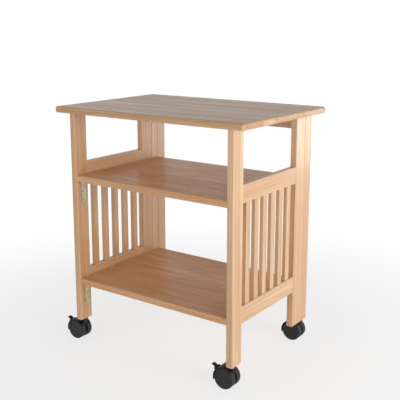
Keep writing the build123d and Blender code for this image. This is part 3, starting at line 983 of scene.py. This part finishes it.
@dataclass
class BracketScrews:
    """The pan-head screws of the shelf brackets, with a cross recess in each head."""

    drops: tuple[float, float] = (0.030, 0.056)
    reaches: tuple[float, float] = (0.014, 0.032)
    plate: float = 0.002
    front_inset: float = 0.027
    shank: float = 0.00175
    length: float = 0.013
    head: float = 0.0036
    rise: float = 0.0016
    slot_half: float = 0.0005
    slot_reach: float = 0.0019
    slot_depth: float = 0.0009

    def build(self, finish: bpy.types.Material) -> None:
        """Builds every screw in one piece and dresses it.

        Args:
            finish: Material of the screws.
        """
        shell = Shell()
        for word, sign in (("left", -1.0), ("right", 1.0)):
            front_low, front_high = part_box(f"{word}_front_post")
            back_low, back_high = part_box(f"{word}_back_post")
            face = min(abs(front_low.x), abs(front_high.x)) * sign
            for y in (front_low.y + self.front_inset, (back_low.y + back_high.y) / 2):
                for shelf in ("mid_shelf", "low_shelf"):
                    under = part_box(shelf)[0].z
                    self.row(shell, face, y, under, sign)
        made = shell.piece("bracket_screws_turned", 40.0)
        wear_finish(made, finish)
        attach(made, "stand")
        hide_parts("bracket_screws")
        LOG.info("screws on the brackets")

    def row(self, shell: Shell, face: float, y: float, under: float, sign: float) -> None:
        """Adds the four screws of one bracket.

        Args:
            shell: Where the screws go.
            face: X of the upright's inner face.
            y: Y of the bracket's middle.
            under: Z of the shelf's underside.
            sign: Side of the stand.
        """
        for number, drop in enumerate(self.drops):
            seat = np.array([face - sign * self.plate, y, under - drop])
            shell.capped(self.screw(seat, np.array([sign, 0.0, 0.0]), 0.5 + number))
        for number, reach in enumerate(self.reaches):
            seat = np.array([face - sign * reach, y, under - self.plate])
            shell.capped(self.screw(seat, np.array([0.0, 0.0, 1.0]), 0.9 + number))

    def screw(self, seat: np.ndarray, inward: np.ndarray, turn: float) -> np.ndarray:
        """One screw as a grid of radius and turn.

        The rings run from the head's middle over its dome, under it and down the shank. On the
        dome a point is lowered by the slot depth where it lies within the slot's half width of
        either of two crossed lines and inside the slot's reach, with a soft edge.

        Args:
            seat: Middle of the head's underside.
            inward: Direction that the screw is driven in.
            turn: Angle of the cross recess.

        Returns:
            The grid of points.
        """
        radius = np.array([1e-5, 0.0004, 0.0008, 0.0012, 0.0016, 0.0020, 0.0026, 0.0031, 0.0035])
        dome = self.rise * (1.0 - 0.45 * (radius / self.head) ** 2)
        radius = np.concatenate([radius, [self.head, self.head, self.shank, self.shank, 0.0002]])
        tail = [0.0007, 0.0, 0.0, 0.0018 - self.length, -self.length]
        height = np.concatenate([dome, tail])
        round_turn = np.linspace(0.0, 2 * np.pi, 32, endpoint=False)
        flat_x = radius[:, None] * np.cos(round_turn)
        flat_y = radius[:, None] * np.sin(round_turn)
        near = np.minimum(np.abs(flat_x), np.abs(flat_y))
        soft = np.clip((self.slot_half + 0.0003 - near) / 0.0003, 0.0, 1.0)
        soft *= np.clip((self.slot_reach - radius[:, None]) / 0.0003, 0.0, 1.0)
        out = height[:, None] - self.slot_depth * soft * (height[:, None] > 0.0005)
        side = np.cross(inward, [0.0, 1.0, 0.0])
        first = np.array([0.0, 1.0, 0.0]) * math.cos(turn) + side * math.sin(turn)
        second = np.cross(inward, first)
        return (
            seat
            + flat_x[..., None] * first
            + flat_y[..., None] * second
            - out[..., None] * inward
        )


@dataclass
class Studio:
    """Pale floor, soft lamps and the camera."""

    eye: Place = (1.2557, -1.7098, 0.9787)
    turn: float = 0.6197
    dip: float = 0.1997
    lens: float = 64.94
    rise: float = -0.08
    floor_half: float = 14.0
    near_white: float = 0.72
    sky_low: float = 0.92
    sky_high: float = 0.05

    def build(self) -> None:
        """Makes the whole studio."""
        self.camera()
        self.floor()
        self.sky()
        self.lamp("key_softbox", (2.8, -0.4, 0.75), 1.7, 45.0)
        self.lamp("front_softbox", (-0.8, -2.9, 0.55), 1.8, 17.0)
        self.lamp("rear_softbox", (1.3, 2.9, 0.5), 1.4, 18.0)
        self.lamp("overhead_softbox", (0.2, 0.2, 3.0), 2.4, 2.0)
        scene = bpy.context.scene
        scene.view_settings.view_transform = "Standard"

    def camera(self) -> None:
        """Places the camera and turns it to the object."""
        data = bpy.data.cameras.new("camera")
        data.lens = self.lens
        data.sensor_width = 36.0
        data.shift_y = self.rise
        eye = bpy.data.objects.new("camera", data)
        bpy.context.collection.objects.link(eye)
        eye.location = self.eye
        eye.rotation_euler = (math.pi / 2 - self.dip, 0.0, self.turn)
        bpy.context.scene.camera = eye

    def lamp(self, name: str, place: Place, size: float, power: float) -> None:
        """Adds a square softbox that faces the middle of the stand.

        Args:
            name: Name of the lamp.
            place: Where it stands.
            size: Side of the square.
            power: Power in watts.
        """
        data = bpy.data.lights.new(name, "AREA")
        data.shape = "SQUARE"
        data.size = size
        data.energy = power
        lamp = bpy.data.objects.new(name, data)
        bpy.context.collection.objects.link(lamp)
        lamp.location = place
        aim = Vector((0.0, 0.0, 0.4)) - Vector(place)
        lamp.rotation_euler = aim.to_track_quat("-Z", "Y").to_euler()

    def floor(self) -> None:
        """A large pale floor that keeps the shadow and fades to white far away."""
        half = self.floor_half
        mesh = bpy.data.meshes.new("floor")
        corners = [(-half, -half, 0), (half, -half, 0), (half, half, 0), (-half, half, 0)]
        mesh.from_pydata(corners, [], [(0, 1, 2, 3)])
        floor = bpy.data.objects.new("floor", mesh)
        bpy.context.collection.objects.link(floor)
        graph = ShaderGraph("pale_floor")
        graph.shader.inputs["Base Color"].default_value = (0.93, 0.93, 0.93, 1.0)
        graph.shader.inputs["Roughness"].default_value = 0.9
        glow = graph.node("ShaderNodeEmission")
        ways = graph.node("ShaderNodeLightPath")
        distance = graph.vector("LENGTH", graph.place()).outputs["Value"]
        far = graph.fade(distance, 0.35, 1.5)
        white = graph.calc("MULTIPLY_ADD", far, 1.0 - self.near_white, self.near_white)
        seen = graph.calc("MAXIMUM", ways.outputs["Is Camera Ray"], ways.outputs["Is Glossy Ray"])
        share = graph.calc("MULTIPLY", white, seen)
        mixed = graph.node("ShaderNodeMixShader")
        graph.feed(mixed.inputs[0], share)
        graph.feed(mixed.inputs[1], graph.shader.outputs[0])
        graph.feed(mixed.inputs[2], glow.outputs[0])
        output = graph.tree.nodes["Material Output"]
        graph.feed(output.inputs["Surface"], mixed.outputs[0])
        wear_finish(floor, graph.material)

    def sky(self) -> None:
        """White to the camera; as light a soft grey that darkens from the horizon to the zenith."""
        world = bpy.data.worlds.new("studio")
        bpy.context.scene.world = world
        world.use_nodes = True
        tree = world.node_tree
        ways = tree.nodes.new("ShaderNodeLightPath")
        ground = tree.nodes["Background"]
        ground.inputs["Color"].default_value = (1.0, 1.0, 1.0, 1.0)
        place = tree.nodes.new("ShaderNodeTexCoord")
        parts = tree.nodes.new("ShaderNodeSeparateXYZ")
        tree.links.new(place.outputs["Generated"], parts.inputs[0])
        rise = tree.nodes.new("ShaderNodeMapRange")
        rise.inputs["To Min"].default_value = self.sky_low
        rise.inputs["To Max"].default_value = self.sky_high
        tree.links.new(parts.outputs[2], rise.inputs["Value"])
        tree.links.new(rise.outputs["Result"], ground.inputs["Strength"])
        white = tree.nodes.new("ShaderNodeBackground")
        white.inputs["Color"].default_value = (1.0, 1.0, 1.0, 1.0)
        white.inputs["Strength"].default_value = 1.0
        mixed = tree.nodes.new("ShaderNodeMixShader")
        tree.links.new(ways.outputs["Is Camera Ray"], mixed.inputs[0])
        tree.links.new(ground.outputs[0], mixed.inputs[1])
        tree.links.new(white.outputs[0], mixed.inputs[2])
        tree.links.new(mixed.outputs[0], tree.nodes["World Output"].inputs["Surface"])


def main() -> None:
    """Builds the looks of the stand, one sub-assembly after another."""
    logging.basicConfig(level=logging.INFO, format="%(message)s")
    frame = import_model()
    nodes = list(frame["nodes"])
    Joinery().build(nodes)
    hardware = Hardware()
    hardware.build(nodes)
    CasterWheels().build(hardware.nylon)
    BrakeLevers().build(hardware.nylon, frame["joints"])
    BracketScrews().build(hardware.white_zinc.material("screw_zinc"))
    Studio().build()


if __name__ == "__main__":
    main()
